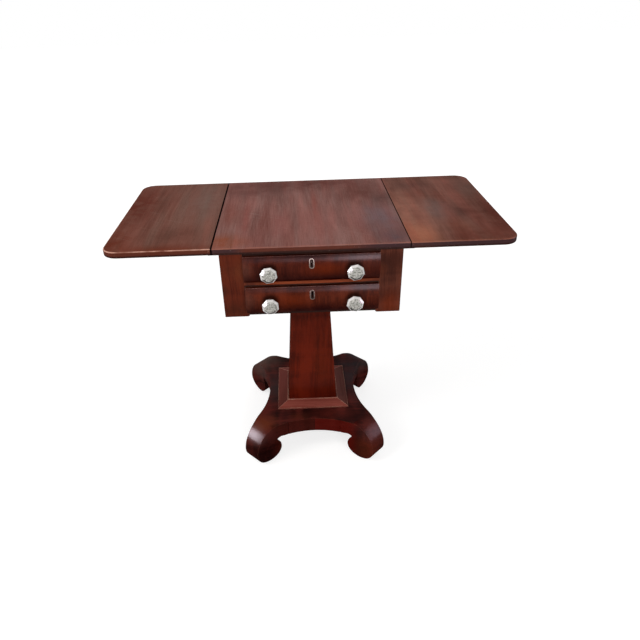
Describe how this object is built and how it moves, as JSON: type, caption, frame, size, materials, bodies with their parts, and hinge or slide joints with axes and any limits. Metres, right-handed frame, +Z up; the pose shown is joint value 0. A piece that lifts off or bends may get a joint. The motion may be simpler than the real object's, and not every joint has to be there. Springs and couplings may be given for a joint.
{
  "type": "drop-leaf side table",
  "caption": "Drop-leaf side table: board top with hinged leaves on fly brackets, case with swelled drawers and glass knobs, tapering square column, platform on scroll feet.",
  "frame": {"origin": "on the floor, under the middle of the column and of the top", "axes": "+Z up, -Y towards the drawer fronts, +X towards the right leaf as seen from the front"},
  "size_m": [0.9874, 0.5533, 0.73],
  "materials": {
    "top_mahogany": "old shellac, worn to a low gloss",
    "leaf_mahogany": "old shellac, worn to a low gloss",
    "case_mahogany": "polished veneer",
    "drawer_mahogany": "polished flame veneer",
    "column_mahogany": "polished veneer",
    "plinth_mahogany": "polished moulding",
    "base_mahogany": "dark polished veneer",
    "secondary_wood": "bare, oxidised",
    "brass": "dull with a pale rim",
    "steel": "dark, aged",
    "pressed_glass": "clear pressed glass"
  },
  "bodies": {
    "table": {"back_panel": "secondary_wood", "base_platform": "base_mahogany", "bottom_board": "case_mahogany", "bracket_pins": "steel", "case_screws": "steel", "column": "column_mahogany", "column_cleat": "secondary_wood", "drawer_guides": "secondary_wood", "foot_front_left": "base_mahogany", "foot_front_right": "base_mahogany", "foot_rear_left": "base_mahogany", "foot_rear_right": "base_mahogany", "front_post_left": "case_mahogany", "front_post_right": "case_mahogany", "hinge_pins": "steel", "hinge_table_flaps": "steel", "hinge_table_screws": "steel", "kickers": "secondary_wood", "middle_rail": "case_mahogany", "plinth_back": "plinth_mahogany", "plinth_front": "plinth_mahogany", "plinth_left": "plinth_mahogany", "plinth_right": "plinth_mahogany", "rear_post_left": "case_mahogany", "rear_post_right": "case_mahogany", "side_panel_left": "case_mahogany", "side_panel_right": "case_mahogany", "top_board": "top_mahogany", "top_rail": "case_mahogany", "upper_runners": "secondary_wood"},
    "leaf_left": {"leaf_left": "leaf_mahogany", "leaf_left_hinge_flaps": "steel", "leaf_left_hinge_screws": "steel"},
    "leaf_right": {"leaf_right": "leaf_mahogany", "leaf_right_hinge_flaps": "steel", "leaf_right_hinge_screws": "steel"},
    "fly_bracket_left": {"fly_bracket_left": "case_mahogany"},
    "fly_bracket_right": {"fly_bracket_right": "case_mahogany"},
    "drawer_upper": {"drawer_upper_back": "secondary_wood", "drawer_upper_floor": "secondary_wood", "drawer_upper_front": "drawer_mahogany", "drawer_upper_side_left": "secondary_wood", "drawer_upper_side_right": "secondary_wood", "escutcheon_upper": "brass", "knob_bolts_upper": "steel", "knob_upper_left": "pressed_glass", "knob_upper_right": "pressed_glass", "lock_case_upper": "brass"},
    "drawer_lower": {"drawer_lower_back": "secondary_wood", "drawer_lower_floor": "secondary_wood", "drawer_lower_front": "drawer_mahogany", "drawer_lower_side_left": "secondary_wood", "drawer_lower_side_right": "secondary_wood", "escutcheon_lower": "brass", "knob_bolts_lower": "steel", "knob_lower_left": "pressed_glass", "knob_lower_right": "pressed_glass", "lock_case_lower": "brass"},
    "lock_bolt_upper": {"lock_bolt_upper": "brass"},
    "lock_bolt_lower": {"lock_bolt_lower": "brass"}
  },
  "joints": [
    {"name": "leaf_left_hinge", "type": "hinge", "parent": "table", "child": "leaf_left", "pos_m": [-0.2337, 0, 0.717], "axis": [0, 1, 0], "range_deg": [-90, 0]},
    {"name": "leaf_right_hinge", "type": "hinge", "parent": "table", "child": "leaf_right", "pos_m": [0.2337, 0, 0.717], "axis": [0, -1, 0], "range_deg": [-90, 0]},
    {"name": "fly_bracket_left_pivot", "type": "hinge", "parent": "table", "child": "fly_bracket_left", "pos_m": [-0.2086, 0.07, 0.687], "axis": [0, 0, -1], "range_deg": [0, 90]},
    {"name": "fly_bracket_right_pivot", "type": "hinge", "parent": "table", "child": "fly_bracket_right", "pos_m": [0.2086, 0.07, 0.687], "axis": [0, 0, 1], "range_deg": [0, 90]},
    {"name": "drawer_upper_slide", "type": "slide", "parent": "table", "child": "drawer_upper", "axis": [0, -1, 0], "range_m": [0, 0.3]},
    {"name": "drawer_lower_slide", "type": "slide", "parent": "table", "child": "drawer_lower", "axis": [0, -1, 0], "range_m": [0, 0.3]},
    {"name": "lock_bolt_upper_slide", "type": "slide", "parent": "drawer_upper", "child": "lock_bolt_upper", "axis": [0, 0, 1], "range_m": [0, 0.006]},
    {"name": "lock_bolt_lower_slide", "type": "slide", "parent": "drawer_lower", "child": "lock_bolt_lower", "axis": [0, 0, 1], "range_m": [0, 0.006]}
  ]
}
